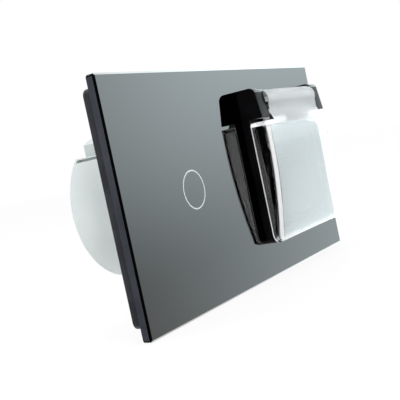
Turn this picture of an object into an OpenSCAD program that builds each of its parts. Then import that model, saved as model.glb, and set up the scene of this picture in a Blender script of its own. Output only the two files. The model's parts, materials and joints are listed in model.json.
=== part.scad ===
// Double wall plate: a touch light switch on the left and a splash-proof socket on the right.
// Row axes: X to the right, Y into the wall, Z up. The wall is the plane y = 0.

/* [Glass panel] */
// Width of the glass
panel_w = 151; // [145:0.5:160]
// Height of the glass
panel_h = 80; // [78:0.5:90]
// Thickness of the glass
glass_t = 3; // [2:0.1:4]
// Radius of the glass corners
glass_corner_r = 1.2; // [0.5:0.1:4]
// Width of the ground bevel on the front edge
glass_bevel = 0.9; // [0.3:0.1:1.5]
// Thickness of the black print on the back of the glass
print_t = 0.15; // [0.1:0.05:0.3]
// Clear margin between the print and the edge of the glass
print_margin = 0.6; // [0.2:0.1:2]

/* [Rear frame] */
// Distance from the wall to the back of the glass
frame_d = 5; // [4.6:0.1:8]
// How far the frame is set in from the edge of the glass
frame_inset = 3.3; // [2:0.1:5]
// Wall of the frame
frame_wall = 2.2; // [1.5:0.1:3]
// Width of the web between the two windows
web_t = 2; // [1.5:0.1:4]
// Outer corner radius of the frame
frame_corner_r = 2.5; // [1:0.1:5]

/* [Yokes] */
// Sheet thickness of the steel yokes
yoke_t = 1.2; // [0.8:0.1:1.5]
// Gap between a yoke and the frame round it
yoke_gap = 0.5; // [0.3:0.1:1]
// Distance between the two wall-box screws of a yoke
slot_spacing = 60; // [58:0.5:61]
// Width of a screw slot
slot_w = 3.8; // [3.4:0.1:4.4]
// Length of a screw slot
slot_len = 6; // [5:0.1:7]

/* [Trays] */
// Width of the trays
tray_w = 52; // [48:0.5:52]
// Gap between a tray and the yoke's upper and lower edge
tray_short = 2; // [1.6:0.1:3]
// Side wall of a tray
tray_wall = 1.5; // [1.2:0.1:2]
// Floor of a tray
tray_floor = 1.2; // [1:0.1:1.4]
// Gap between a tray and the print on the glass
tray_gap = 0.2; // [0.1:0.05:0.4]
// Width of a snap latch
latch_w = 8; // [5:0.5:10]
// Distance of a latch from the middle of its tray
latch_x = 15; // [12:0.5:18]
// Reach of a latch nose beyond its tray
latch_reach = 1.2; // [0.8:0.1:1.5]

/* [Touch sensor] */
// Outer diameter of the lit touch ring
ring_d = 13.2; // [10:0.1:18]
// Width of the ring's line
ring_line = 0.45; // [0.3:0.05:1]
// Height of the light guide under the print
guide_h = 0.85; // [0.7:0.05:1]
// Width of the light guide's foot
guide_foot = 1.6; // [1.2:0.1:2]
// Thickness of the touch board
board_t = 1; // [0.8:0.1:1.2]
// Diameter of the conductive touch pad
pad_d = 8.4; // [5:0.1:8.6]

/* [Switch housing] */
// Diameter of the round rear housing
housing_d = 50; // [48:0.5:54]
// Depth of the housing behind the wall
housing_depth = 24; // [23:0.5:30]
// Wall of both housings
housing_wall = 1.8; // [1.4:0.1:2.2]
// Diameter of the rim at the housing's mouth
mouth_d = 52; // [51:0.5:55]
// Thickness of that rim
mouth_t = 1.5; // [1:0.1:2]
// Height of the shelf beside the terminal tower
shelf_z = 17.8; // [17.5:0.1:19]
// Width of the terminal tower
tower_w = 24; // [23.6:0.1:28]
// Distance of the power board from the wall
power_y = 4; // [3:0.1:5]
// Diameter of the power board
power_d = 36.8; // [36:0.1:37]
// Thickness of the power board
power_t = 1.6; // [1:0.1:2]

/* [Terminals] */
// Number of terminals in each row
term_count = 3; // [3]
// Distance between terminals
term_pitch = 6.4; // [6.2:0.05:6.5]
// Gap between two terminal bodies
term_gap = 0.1; // [0.05:0.05:0.2]
// Length of a terminal body
term_l = 12; // [11:0.1:13]
// Height of a terminal body
term_h = 8; // [7.8:0.1:8.4]
// Width of the square wire entry
wire_w = 3.4; // [2.6:0.1:3.6]
// Width of a brass clamp
clamp_w = 4.6; // [4.4:0.1:5]
// Height of a brass clamp
clamp_h = 6; // [5.8:0.1:6.2]
// Length of a brass clamp
clamp_l = 6.6; // [6:0.1:7]
// Diameter of a clamp screw's thread
clamp_screw_d = 2.5; // [2:0.1:3]
// Diameter of a clamp screw's head
clamp_head_d = 4; // [3.6:0.1:4.4]

/* [Socket collar] */
// Width of the collar and of the lid
collar_w = 58; // [56:0.5:60]
// Height of the collar's top edge above the plate's middle
collar_top = 31; // [30.8:0.1:33]
// Height of the collar's bottom edge, below the plate's middle
collar_bottom = -27.5; // [-29:0.1:-27]
// How far the collar stands in front of the glass
collar_rise = 3.05; // [2.6:0.05:4]
// Corner radius of the collar and of the lid
collar_corner_r = 4; // [2:0.1:5]
// Outer width of the neck that passes through the glass
neck_w = 48; // [47:0.1:48.4]
// Wall of the neck
neck_wall = 1.5; // [1.2:0.1:1.8]
// Corner radius of the neck
neck_corner_r = 3; // [2:0.1:4]
// Gap between the neck and the glass
neck_gap = 0.3; // [0.2:0.05:0.6]
// Height of the lip that the lid closes over
lip_h = 1.6; // [1:0.1:2.4]
// Wall of the lip
lip_wall = 1.2; // [0.8:0.1:1.6]
// Width of a hinge ear
ear_w = 6.5; // [6:0.1:7]
// Height of the underside of the ears above the plate's middle
ear_bottom = 19.5; // [19.2:0.1:20]
// Depth of an ear in front of the glass, at its underside
ear_low = 8.9; // [8.5:0.1:9.2]
// Depth of an ear in front of the glass, at its top
ear_high = 7.8; // [7.6:0.1:8.2]
// Rounding of an ear's top front edge
ear_r = 2.5; // [1.5:0.1:3]
// Thickness of the gasket under the collar
gasket_t = 0.5; // [0.3:0.05:0.6]
// Width of the gasket
gasket_w = 1.5; // [1:0.1:2]
// Width of the strip that seals the lid
seal_w = 1; // [0.6:0.05:1.1]
// Depth of the strip that seals the lid
seal_t = 0.8; // [0.5:0.05:1.2]

/* [Lid and hinge] */
// Wall of the clear lid
lid_wall = 1.6; // [1.2:0.1:1.8]
// Gap between the lid's rim and the collar
lid_gap = 0.15; // [0.1:0.05:0.3]
// Greatest height of the lid in front of the glass
crown_h = 10.4; // [10:0.1:11.5]
// Height at which the lid is deepest
crown_z = 12; // [6:0.5:14]
// Radius of the lid's curved front
crown_r = 190; // [150:5:400]
// Rounding of the lid's long front edges
lid_edge_r = 2.6; // [2:0.1:3.5]
// Rounding of the lid's lower front edge
lid_bottom_r = 3; // [2.2:0.1:3.4]
// Rounding of the lid's shoulders under the ears
shoulder_r = 1.6; // [1:0.1:2.5]
// Gap between the lid's shoulders and the ears
shoulder_gap = 1.3; // [1.1:0.1:1.8]
// Distance of the hinge axis in front of the glass
hinge_out = 5.4; // [5.3:0.05:5.6]
// Height of the hinge axis above the plate's middle
hinge_z = 26.2; // [26:0.1:26.5]
// Radius of the lid's hinge barrel
barrel_r = 4; // [3.8:0.05:4.1]
// Running gap round the hinge barrel
barrel_gap = 0.35; // [0.3:0.05:0.45]
// Gap between the hinge band and each ear
band_gap = 0.4; // [0.3:0.05:0.6]
// Length of the solid knuckle at each end of the hinge band
knuckle_l = 11; // [11:0.5:14]
// Diameter of the steel hinge pins
pin_d = 2; // [1.6:0.1:2.2]
// Radial running clearance of the pins in the lid
pin_clear = 0.05; // [0.02:0.01:0.1]
// Wire diameter of the lid spring
spring_wire = 0.4; // [0.3:0.05:0.45]
// Mean diameter of the lid spring
spring_d = 3.2; // [3.1:0.05:3.3]
// Number of turns of the lid spring
spring_turns = 3.5; // [2.5:0.5:3.5]
// Pitch of the lid spring
spring_pitch = 1; // [0.95:0.01:1.05]

/* [Plug recess] */
// Diameter of the plug recess
recess_d = 39.5; // [39:0.1:40]
// Depth of the plug recess
recess_depth = 17.5; // [17:0.1:18]
// Wall of the recess bowl
bowl_wall = 1.9; // [1.5:0.1:2]
// Thickness of the bowl's floor
bowl_floor = 2.4; // [2:0.1:3]
// Distance of the insert's face behind the collar's face
face_back = 0.15; // [0.1:0.05:0.6]
// Distance between the two plug pins
pin_spacing = 19; // [19]
// Diameter of the pin holes
pin_hole_d = 5.6; // [5:0.1:6]
// Depth of the shutter chamber behind the bowl's floor
chamber_d = 2.6; // [2.4:0.1:3.2]
// Thickness of the shutter
shutter_t = 2; // [1.6:0.1:2.1]
// Diameter of the shutter's pivot
pivot_d = 6; // [5.6:0.1:6.4]
// Length of the contact carrier
carrier_l = 14.4; // [14:0.1:17]
// Outer diameter of the contact tubes
tube_d = 6.2; // [6:0.1:6.4]
// Wall of the contact tubes
tube_wall = 0.6; // [0.4:0.05:0.7]
// Width of the earth strap
strap_w = 6; // [5:0.1:7]
// Sheet thickness of the earth strap
strap_t = 0.8; // [0.6:0.05:0.9]

/* [Socket housing] */
// Width and height of the socket housing
base_w = 50; // [49.6:0.1:51]
// Corner radius of the socket housing
base_corner_r = 14; // [12:0.1:15]
// Height of the middle boss that the carrier stands on
base_boss_h = 2; // [1:0.1:3]

/* [Hidden] */
$fn = 64;

// Cuts run past the faces that they open by this much
over = 1;
// How far a corner's round is moved out, so that it crosses the sides
round_lap = 0.05;
// Seating gap between two pieces that touch in use
seat = 0.1;

// Depths of the plate, from the front
glass_back = -frame_d;
glass_front = glass_back - glass_t;
print_back = glass_back + print_t;
frame_w = panel_w - 2 * frame_inset;
frame_h = panel_h - 2 * frame_inset;
window_w = (frame_w - 2 * frame_wall - web_t) / 2;
window_h = frame_h - 2 * frame_wall;
window_r = frame_corner_r - frame_wall / 2;
gang_x = (web_t + window_w) / 2;

// Yokes, trays and the screws that hold them to the housings
yoke_w = window_w - 2 * yoke_gap;
yoke_h = window_h - 2 * yoke_gap;
yoke_corner_r = 2;
tray_h = yoke_h - 2 * tray_short;
tray_corner_r = 3;
tray_back = -yoke_t;
tray_front = print_back + tray_gap;
tray_inside = tray_back - tray_floor;
latch_t = 1.1;
catch_t = 1.2;
catch_front = tray_back - seat - catch_t;
catch_gap = 0.3;
screw_r = 1.25;
screw_hole_r = 1.6;
screw_head_r = 2.3;
screw_head_h = tray_floor - seat;
screw_end = 9;
boss_r = 2.4;
boss_depth = 10;
cross_w = 0.5;
cross_r = 1.4;
board_screw_gap = 2.8;
boss_in = 5.5;
boss_rib_t = 2;
switch_screw_at = power_d / 2 + board_screw_gap;
switch_screw_x = switch_screw_at / sqrt(2);
switch_hole_r = switch_screw_at - boss_r - screw_r;
socket_screw_x = base_w / 2 - boss_in;

// Touch sensor
ring_r = ring_d / 2;
guide_mid_r = ring_r - ring_line / 2;
board_front = print_back + guide_h;
board_back = board_front + board_t;
board_gap = 0.3;
guide_gap = 0.05;
guide_foot_h = 0.6;
board_post_r = 2;
board_post_in = 5;
led_w = 1.6;
led_d = 0.8;
led_h = 0.45;
chip_w = 5;
chip_h = 4;
chip_t = guide_h - seat;
chip_x = 14;
chip_z = -12;
header_w = 10.2;
header_h = 2.5;
header_z = -15;
header_gap = 0.4;

// Switch housing and its power board
housing_r = housing_d / 2;
power_back = power_y + power_t;
ledge_gap = 0.15;
ledge_r = board_screw_gap - ledge_gap;
term_z = 12.5;
relay_size = [18, 12.5, 10];
relay_at = [-5, -6];
film_size = [11, 11, 6];
film_at = [9.5, -6];
storage_r = 3.1;
storage_l = 11;
storage_at = [3, -14.2];
choke_r = 3;
choke_core_r = 1.6;
choke_flange_t = 1;
choke_l = 8;
choke_at = [11, 2.5];

// Terminals
term_w = term_pitch - term_gap;
term_row_w = term_count * term_pitch - term_gap;
pocket_gap = 0.15;
clamp_floor = 0.6;
clamp_head_h = 1.6;
clamp_slot_w = 0.5;
clamp_slot_h = 0.6;
access_gap = 0.3;
access_r = clamp_head_d / 2 + access_gap;
tail_w = 1.2;
tail_t = 0.4;
pocket_l = clamp_l + 2 * pocket_gap;

// Collar
collar_front = glass_front - collar_rise;
collar_h = collar_top - collar_bottom;
collar_mid_z = (collar_top + collar_bottom) / 2;
neck_inner = neck_w - 2 * neck_wall;
hook_t = 1.2;
hook_reach = 1.2;
hook_w = 12;
hook_gap = 1;
neck_back = print_back + hook_t;
ear_x = collar_w / 2 - ear_w;
groove_gap = 0.1;
gasket_out = 1;
gasket_in = neck_w / 2 + gasket_out;
least_corner_r = 0.5;

// Lid and hinge
lid_rim = collar_front - lid_gap;
lid_shoulder = ear_bottom - shoulder_gap;
hinge_y = glass_front - hinge_out;
band_x = ear_x - band_gap;
crown_y = glass_front - crown_h;
crown_mid_y = crown_y + crown_r;
lid_sweep = 30;
lid_deep = crown_h;
lip_gap = 0.4;
lip_end_gap = 1.1;
lip_top = lid_shoulder - lid_wall - lip_end_gap;
valley_in = 0.5;
crease = 0.3;
valley_drop = 5.2;
valley_rise = 3.5;
valley_z = hinge_z - valley_drop;
valley_top = valley_z + valley_rise;
least_round = 0.2;
pin_r = pin_d / 2;
pin_in_lid = 9.6;
pin_end_gap = 0.5;
ear_skin = 0.5;
spring_r = spring_d / 2;
spring_bend = 0.6;
spring_leg = 2.5;
spring_leg_end = 0.9;
spring_in = 0.5;
spring_start = ear_x + spring_in;
spring_end = spring_start + spring_turns * spring_pitch;
spring_tip = spring_start - spring_bend - spring_leg;
spring_tail = spring_end + spring_bend + spring_leg_end;
leg_gap = 0.2;
spring_clear = 0.25;
spring_pocket_r = spring_r + spring_wire / 2 + spring_clear;
spring_pocket_end = spring_end + spring_bend + leg_gap;
leg_clear = 0.15;
spring_hole_r = spring_wire / 2 + leg_clear;
spring_start_angle = 90;

// Plug recess and what lies behind it
face_front = collar_front + face_back;
face_t = 2;
face_gap = 0.3;
face_w = neck_inner - 2 * face_gap;
recess_r = recess_d / 2;
bowl_r = recess_r + bowl_wall;
recess_floor = face_front + recess_depth;
chamber_front = recess_floor + bowl_floor;
chamber_back = chamber_front + chamber_d;
chamber_wall = 2.6;
chamber_r = bowl_r - chamber_wall;
bowl_gap = 0.3;
rib_w = 3;
rib_h = 1.6;
insert_screw_r = 1.5;
insert_head_r = 2.8;
insert_head_h = 1.5;
insert_hole_r = insert_screw_r + seat;
insert_cross_w = 0.6;
insert_cross_r = 1.7;
shutter_front = chamber_front + (chamber_d - shutter_t) / 2;
shutter_back = shutter_front + shutter_t;
lobe_lap = 1.5;
lobe_r = pin_hole_d / 2 + lobe_lap;
shutter_bar_w = 7;
hub_wall = 1.6;
hub_r = pivot_d / 2 + hub_wall;
ramp_tilt = 35;
ramp_z = 1.7;
blade_t = 0.25;
blade_side = 0.2;
blade_w = shutter_t - 2 * blade_side;
blade_gap = 0.15;
blade_z = -lobe_r - blade_gap;
blade_start = 4;
blade_in = 0.5;
carrier_front = chamber_back;
carrier_back = carrier_front + carrier_l;
carrier_w = 38;
carrier_h = 17;
carrier_corner_r = 4;
tube_r = tube_d / 2;
tube_in = 1.8;
tube_end = 0.4;
tube_front = carrier_front + tube_in;
tube_back = carrier_back - tube_end;
tube_slot = 0.8;
strap_gap = 0.3;
strap_front = carrier_front + strap_gap;
strap_back = strap_front + strap_t;
strap_z = bowl_r + strap_gap;
strap_room = strap_z + strap_t + strap_gap;
strap_tip_gap = 0.6;
strap_tip_y = neck_back + strap_tip_gap;
strap_tip_in = 1.15;
base_half = base_w / 2;
base_inner = base_w - 2 * housing_wall;
base_floor_front = carrier_back + base_boss_h;
base_back = base_floor_front + housing_wall;
base_boss_r = 3.2;
base_term_in = 8.5;
base_term_z = base_half - base_term_in;
base_term_front = base_back - term_l;
riser_t = 0.8;
riser_w = 4;
riser_back = base_term_front;
riser_gap = 0.2;

// Height of the lid's front surface at height z, drawn in by inset
function lid_front(z, inset = 0) =
    crown_mid_y - sqrt(pow(crown_r - inset, 2) - pow(z - crown_z, 2));

// Shared shapes

// Rectangle with round corners, centred
module rounded(w, h, r) {
    square([w - 2 * r, h], center = true);
    square([w, h - 2 * r], center = true);
    for (sx = [-1, 1], sy = [-1, 1])
        translate([sx * (w / 2 - r), sy * (h / 2 - r)])
            circle(r);
}

// Slot with round ends along X
module stadium(len, w) {
    square([len - w, w], center = true);
    for (s = [-1, 1])
        translate([s * (len - w) / 2, 0])
            circle(w / 2);
}

// Flat shape drawn in X and Z, from depth y0 to depth y1
module deep(y0, y1) {
    translate([0, y1, 0])
        rotate([90, 0, 0])
            linear_extrude(y1 - y0)
                children();
}

// Flat shape drawn in Y and Z, from x0 to x1
module wide(x0, x1) {
    translate([x0, 0, 0])
        rotate([90, 0, 90])
            linear_extrude(x1 - x0)
                children();
}

// Plate with round corners between two depths
module slab(w, h, r, y0, y1) {
    deep(y0, y1)
        rounded(w, h, r);
}

// Round bar along Y between two depths
module drum(r, y0, y1) {
    translate([0, y1, 0])
        rotate([90, 0, 0])
            cylinder(r = r, h = y1 - y0);
}

// Cone along Y, with radius r0 at depth y0 and r1 at depth y1
module taper(r0, r1, y0, y1) {
    translate([0, y1, 0])
        rotate([90, 0, 0])
            cylinder(r1 = r1, r2 = r0, h = y1 - y0);
}

// Round bar along X between x0 and x1, on the hinge axis
module axle(r, x0, x1) {
    translate([x0, hinge_y, hinge_z])
        rotate([0, 90, 0])
            cylinder(r = r, h = x1 - x0);
}

// Box given by two opposite corners
module block(low, high) {
    translate(low)
        cube(high - low);
}

module at_switch() {
    translate([-gang_x, 0, 0])
        children();
}

module at_socket() {
    translate([gang_x, 0, 0])
        children();
}

// Four places at the corners of a square
module corners(x) {
    for (sx = [-1, 1], sz = [-1, 1])
        translate([sx * x, 0, sz * x])
            children();
}

// Waste outside a rounded corner of radius r, whose round meets both sides at a slight angle
module corner_waste(r) {
    difference() {
        square(r + over);
        translate([round_lap, round_lap])
            circle(r);
    }
}

// Panel

module glass_panel() {
    color([0.75, 0.8, 0.8, 0.35])
        difference() {
            slab(panel_w, panel_h, glass_corner_r, glass_front, glass_back);
            at_socket()
                neck_window(glass_front - over, glass_back + over);
            for (s = [-1, 1]) {
                translate([s * panel_w / 2, glass_front, -panel_h])
                    linear_extrude(2 * panel_h)
                        bevel_cut();
                translate([0, 0, s * panel_h / 2])
                    wide(-panel_w, panel_w)
                        translate([glass_front, 0])
                            bevel_cut();
            }
        }
}

module bevel_cut() {
    rotate(45)
        square(glass_bevel * sqrt(2), center = true);
}

// Hole in the glass and its print for the collar's neck
module neck_window(y0, y1) {
    slab(neck_w + 2 * neck_gap, neck_w + 2 * neck_gap, neck_corner_r + neck_gap, y0, y1);
}

module back_print() {
    color([0.02, 0.02, 0.025])
        difference() {
            slab(panel_w - 2 * print_margin, panel_h - 2 * print_margin, glass_corner_r,
                glass_back, print_back);
            at_socket()
                neck_window(glass_back - over, print_back + over);
            at_switch()
                difference() {
                    drum(ring_r, glass_back - over, print_back + over);
                    drum(ring_r - ring_line, glass_back - 2 * over, print_back + 2 * over);
                }
        }
}

module rear_frame() {
    color([0.08, 0.08, 0.09]) {
        difference() {
            slab(frame_w, frame_h, frame_corner_r, print_back, 0);
            for (s = [-1, 1])
                translate([s * gang_x, 0, 0])
                    slab(window_w, window_h, window_r, print_back - over, over);
        }
        for (g = [-1, 1], s = [-1, 1], l = [-1, 1])
            translate([g * gang_x + l * latch_x, 0, s * window_h / 2])
                catch_tooth(s);
    }
}

// Tooth on the frame that snaps behind a tray's latch nose
module catch_tooth(s) {
    reach = (window_h - tray_h) / 2 - catch_gap;
    translate([-latch_w / 2, 0, 0])
        wide(0, latch_w)
            polygon([[catch_front, s * frame_wall / 2], [catch_front, -s * reach],
                [catch_front + catch_t / 2, -s * reach], [catch_front + catch_t, s * frame_wall / 2]]);
}

// Trays, yokes and screws

// Shallow open tray with latch noses on its upper and lower edge
module tray_shell() {
    difference() {
        slab(tray_w, tray_h, tray_corner_r, tray_front, tray_back);
        slab(tray_w - 2 * tray_wall, tray_h - 2 * tray_wall, tray_corner_r - tray_wall,
            tray_front - over, tray_inside);
    }
    for (s = [-1, 1], l = [-1, 1])
        translate([l * latch_x - latch_w / 2, 0, s * tray_h / 2])
            wide(0, latch_w)
                latch_nose(s);
}

// Wedge that passes a catch tooth of the frame and holds in front of it
module latch_nose(s) {
    back = catch_front - seat;
    polygon([[back, -s * tray_wall / 2], [back, s * latch_reach], [back - latch_t / 3, s * latch_reach],
        [back - latch_t, -s * tray_wall / 2]]);
}

// Countersunk screw holes through a tray
module tray_screw_holes(x) {
    corners(x) {
        drum(screw_hole_r, tray_inside - over, tray_back + over);
        taper(screw_head_r + seat, screw_hole_r, tray_inside, tray_inside + screw_head_h);
    }
}

module switch_tray() {
    color([0.88, 0.9, 0.9])
        at_switch()
            difference() {
                union() {
                    tray_shell();
                    for (sx = [-1, 1], sz = [-1, 1])
                        translate([sx * (tray_w / 2 - board_post_in), 0, sz * (tray_h / 2 - board_post_in)])
                            drum(board_post_r, board_back, tray_back);
                }
                tray_screw_holes(switch_screw_x);
                header_hole(tray_inside - over, tray_back + over);
            }
}

module header_hole(y0, y1) {
    block([-header_w / 2 - header_gap, y0, header_z - header_h / 2 - header_gap],
        [header_w / 2 + header_gap, y1, header_z + header_h / 2 + header_gap]);
}

module socket_tray() {
    open_h = neck_w + 2 * (hook_reach + hook_gap);
    color([0.88, 0.9, 0.9])
        at_socket()
            difference() {
                tray_shell();
                block([-tray_w, tray_front - over, -open_h / 2], [tray_w, tray_inside, open_h / 2]);
                bowl_passage(tray_front - over, tray_back + over);
                tray_screw_holes(socket_screw_x);
            }
}

// Room for the recess bowl and for the earth strap that runs over it
module bowl_passage(y0, y1) {
    drum(bowl_r + bowl_gap, y0, y1);
    block([-strap_w / 2 - strap_gap, y0, -strap_room], [strap_w / 2 + strap_gap, y1, strap_room]);
}

// Steel mounting plate with slots for the wall-box screws and a middle hole given as its child
module yoke(screw_x) {
    color([0.72, 0.73, 0.75])
        difference() {
            slab(yoke_w, yoke_h, yoke_corner_r, -yoke_t, 0);
            children();
            for (s = [-1, 1])
                translate([s * slot_spacing / 2, 0, 0])
                    deep(-yoke_t - over, over)
                        stadium(slot_len, slot_w);
            corners(screw_x)
                drum(screw_hole_r, -yoke_t - over, over);
        }
}

module switch_yoke() {
    at_switch()
        yoke(switch_screw_x)
            drum(switch_hole_r, -yoke_t - over, over);
}

module socket_yoke() {
    at_socket()
        yoke(socket_screw_x)
            bowl_passage(-yoke_t - over, over);
}

// Countersunk screws from the tray's floor into the housing's bosses
module housing_screws(x) {
    color([0.8, 0.8, 0.82])
        corners(x)
            difference() {
                union() {
                    taper(screw_head_r, screw_r, tray_inside, tray_inside + screw_head_h);
                    drum(screw_r, tray_inside, screw_end);
                }
                for (a = [0, 90])
                    rotate([0, a, 0])
                        block([-cross_r, tray_inside - over, -cross_w / 2],
                            [cross_r, tray_inside + screw_head_h / 2, cross_w / 2]);
            }
}

module switch_screws() {
    at_switch()
        housing_screws(switch_screw_x);
}

module socket_screws() {
    at_socket()
        housing_screws(socket_screw_x);
}

// Touch sensor

// Ring of clear plastic whose narrow edge fills the gap in the print
module light_guide() {
    color([0.9, 0.95, 0.95])
        at_switch()
            difference() {
                translate([0, board_front, 0])
                    rotate([90, 0, 0])
                        rotate_extrude()
                            guide_section();
                led_places()
                    block([-led_w / 2 - seat, board_front - led_h - seat, -guide_foot],
                        [led_w / 2 + seat, board_front + over, guide_foot]);
            }
}

module guide_section() {
    tip = ring_line / 2 - guide_gap;
    polygon([[guide_mid_r - guide_foot / 2, 0], [guide_mid_r + guide_foot / 2, 0],
        [guide_mid_r + guide_foot / 2, guide_foot_h], [guide_mid_r + tip, guide_h],
        [guide_mid_r + tip, guide_h + print_t], [guide_mid_r - tip, guide_h + print_t],
        [guide_mid_r - tip, guide_h], [guide_mid_r - guide_foot / 2, guide_foot_h]]);
}

module led_places() {
    for (a = [0, 180])
        rotate([0, a, 0])
            translate([0, 0, guide_mid_r])
                children();
}

module indicator_leds() {
    color([0.95, 0.9, 0.7])
        at_switch()
            led_places()
                block([-led_w / 2, board_front - led_h, -led_d / 2], [led_w / 2, board_front, led_d / 2]);
}

module touch_pad() {
    color([0.3, 0.3, 0.32])
        at_switch()
            drum(pad_d / 2, print_back, board_front);
}

module touch_board() {
    color([0.05, 0.35, 0.2])
        at_switch()
            slab(tray_w - 2 * tray_wall - 2 * board_gap, tray_h - 2 * tray_wall - 2 * board_gap,
                tray_corner_r - tray_wall, board_front, board_back);
}

module touch_chip() {
    color([0.1, 0.1, 0.1])
        at_switch()
            block([chip_x - chip_w / 2, board_front - chip_t, chip_z - chip_h / 2],
                [chip_x + chip_w / 2, board_front, chip_z + chip_h / 2]);
}

module board_header() {
    color([0.12, 0.12, 0.12])
        at_switch()
            block([-header_w / 2, board_back, header_z - header_h / 2],
                [header_w / 2, power_y, header_z + header_h / 2]);
}

// Switch housing and power board

// Round section with a shelf cut on each side of the terminal tower, drawn in by inset
module housing_section(inset) {
    difference() {
        circle(housing_r - inset);
        for (s = [0, 1])
            mirror([s, 0])
                translate([tower_w / 2 - inset, shelf_z - inset])
                    square(housing_d);
    }
}

module switch_housing() {
    color([0.9, 0.92, 0.92])
        at_switch()
            difference() {
                union() {
                    difference() {
                        union() {
                            deep(0, housing_depth)
                                housing_section(0);
                            drum(mouth_d / 2, 0, mouth_t);
                        }
                        deep(-over, housing_depth - housing_wall)
                            housing_section(housing_wall);
                    }
                    corners(switch_screw_x) {
                        drum(boss_r, 0, boss_depth);
                        drum(ledge_r, power_back, boss_depth);
                    }
                    for (a = [45 : 90 : 315])
                        rotate([0, a, 0])
                            block([switch_screw_at - boss_rib_t, mouth_t, -boss_rib_t / 2],
                                [housing_r - housing_wall / 2, power_y, boss_rib_t / 2]);
                }
                corners(switch_screw_x)
                    drum(screw_r, -over, screw_end + seat);
                term_window(housing_depth, term_z);
                term_access(housing_depth, term_z, housing_r);
            }
}

module power_board() {
    color([0.05, 0.3, 0.15])
        at_switch()
            drum(power_d / 2, power_y, power_back);
}

// Box-shaped part standing on the power board
module on_board(at, size) {
    at_switch()
        block([at[0] - size[0] / 2, power_back, at[1] - size[2] / 2],
            [at[0] + size[0] / 2, power_back + size[1], at[1] + size[2] / 2]);
}

module relay() {
    color([0.1, 0.25, 0.6])
        on_board(relay_at, relay_size);
}

module film_capacitor() {
    color([0.75, 0.6, 0.2])
        on_board(film_at, film_size);
}

module storage_capacitor() {
    color([0.15, 0.15, 0.2])
        at_switch()
            translate([storage_at[0], 0, storage_at[1]])
                drum(storage_r, power_back, power_back + storage_l);
}

module choke() {
    color([0.25, 0.2, 0.18])
        at_switch()
            translate([choke_at[0], 0, choke_at[1]]) {
                drum(choke_r, power_back, power_back + choke_flange_t);
                drum(choke_core_r, power_back, power_back + choke_l);
                drum(choke_r, power_back + choke_l - choke_flange_t, power_back + choke_l);
            }
}

// Terminals, in rows whose back face lies at depth back and whose middle is at height z

module term_places(back, z) {
    for (i = [0 : term_count - 1])
        translate([(i - (term_count - 1) / 2) * term_pitch, back - term_l, z])
            children();
}

module term_bodies(back, z) {
    term_places(back, z)
        difference() {
            block([-term_w / 2, 0, -term_h / 2], [term_w / 2, term_l, term_h / 2]);
            block([-clamp_w / 2 - pocket_gap, -over, -clamp_h / 2 - pocket_gap],
                [clamp_w / 2 + pocket_gap, pocket_l, clamp_h / 2 + pocket_gap]);
            wire_hole(pocket_l - over, term_l + over);
            translate([0, clamp_l / 2 + pocket_gap, 0])
                cylinder(r = clamp_screw_d / 2 + pocket_gap, h = term_h);
        }
}

// Square wire entry in the lower part of a clamp
module wire_hole(y0, y1) {
    low = -clamp_h / 2 + clamp_floor;
    block([-wire_w / 2, y0, low], [wire_w / 2, y1, low + wire_w]);
}

module term_clamps(back, z, tail_to) {
    term_places(back, z) {
        difference() {
            block([-clamp_w / 2, pocket_gap, -clamp_h / 2], [clamp_w / 2, pocket_gap + clamp_l, clamp_h / 2]);
            wire_hole(-over, clamp_l + over);
            translate([0, clamp_l / 2 + pocket_gap, 0])
                cylinder(r = clamp_screw_d / 2, h = clamp_h);
        }
        block([-tail_w / 2, tail_to - back + term_l, -clamp_h / 2],
            [tail_w / 2, pocket_gap + over, -clamp_h / 2 + tail_t]);
    }
}

module term_screws(back, z) {
    tip = -clamp_h / 2 + clamp_floor + wire_w + seat;
    head = term_h / 2 + seat;
    term_places(back, z)
        translate([0, clamp_l / 2 + pocket_gap, 0])
            difference() {
                union() {
                    translate([0, 0, tip])
                        cylinder(r = clamp_screw_d / 2, h = head - tip);
                    translate([0, 0, head])
                        cylinder(r = clamp_head_d / 2, h = clamp_head_h);
                }
                block([-clamp_head_d, -clamp_slot_w / 2, head + clamp_head_h - clamp_slot_h],
                    [clamp_head_d, clamp_slot_w / 2, head + clamp_head_h + over]);
            }
}

// Window in a housing's back wall that a terminal row fills
module term_window(back, z) {
    block([-term_row_w / 2 - seat, back - housing_wall - over, z - term_h / 2 - seat],
        [term_row_w / 2 + seat, back + over, z + term_h / 2 + seat]);
}

// Holes in a housing's top wall that lead a screwdriver to the clamp screws
module term_access(back, z, top) {
    term_places(back, z)
        translate([0, clamp_l / 2 + pocket_gap, term_h / 2])
            cylinder(r = access_r, h = top);
}

module switch_terminals() {
    color([0.2, 0.5, 0.35])
        at_switch()
            term_bodies(housing_depth, term_z);
}

module switch_clamps() {
    color([0.8, 0.65, 0.3])
        at_switch()
            term_clamps(housing_depth, term_z, power_back);
}

module switch_clamp_screws() {
    color([0.75, 0.75, 0.78])
        at_switch()
            term_screws(housing_depth, term_z);
}

// Socket collar and seals

module ear_section() {
    front = glass_front - ear_high;
    polygon([[glass_front, ear_bottom], [glass_front - ear_low, ear_bottom], [front, collar_top - ear_r],
        [front + ear_r, collar_top], [glass_front, collar_top]]);
    translate([front + ear_r, collar_top - ear_r])
        circle(ear_r);
}

// Rounded outline centred on the collar, drawn in by inset
module collar_outline(inset) {
    translate([0, collar_mid_z])
        rounded(collar_w - 2 * inset, collar_h - 2 * inset, max(collar_corner_r - inset, least_corner_r));
}

// Band that follows the collar's outline on three sides and stops below the ears
module collar_band(inset, w, y0, y1) {
    difference() {
        deep(y0, y1)
            collar_outline(inset);
        deep(y0 - over, y1 + over)
            collar_outline(inset + w);
        block([-collar_w, y0 - over, lip_top], [collar_w, y1 + over, collar_top + over]);
    }
}

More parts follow.
